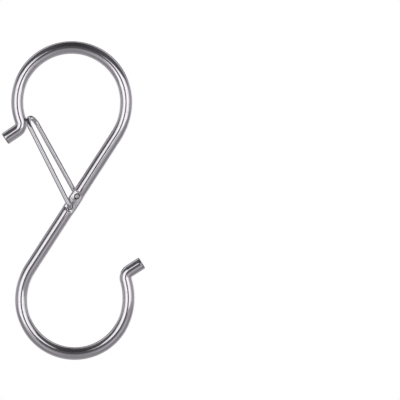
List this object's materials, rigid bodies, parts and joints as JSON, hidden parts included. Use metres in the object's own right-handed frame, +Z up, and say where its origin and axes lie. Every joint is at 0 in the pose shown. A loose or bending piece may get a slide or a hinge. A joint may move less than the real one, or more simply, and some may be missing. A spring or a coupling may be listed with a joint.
{
  "type": "s hook",
  "caption": "Bright wire S hook with kicked-out ends and a sprung hairpin wire gate that shuts the upper loop; hangs from a rod and carries a load in the lower loop",
  "frame": {"origin": "the point under the upper loop's crown that rests on the rod, in the middle of the wire", "axes": "+Z up as the hook hangs; +X to the right seen from the front, the side that the lower mouth opens to; +Y from front to back, across the hook's plane"},
  "size_m": [0.04, 0.0064, 0.0889],
  "materials": {
    "hook_wire": "bright plated drawn wire, with fine lengthwise draw lines",
    "gate_wire": "bright drawn spring wire, a little darker than the hook"
  },
  "bodies": {
    "hook": {"hook": "hook_wire"},
    "gate": {"gate": "gate_wire"}
  },
  "joints": [
    {"name": "gate_hinge", "type": "hinge", "parent": "hook", "child": "gate", "pos_m": [-0.00042, 0, -0.04272], "axis": [0, 1, 0], "range_deg": [0, 50], "stiffness_Nm_per_rad": 0.02, "springref_deg": -17.19, "deforming": ["gate"]}
  ]
}
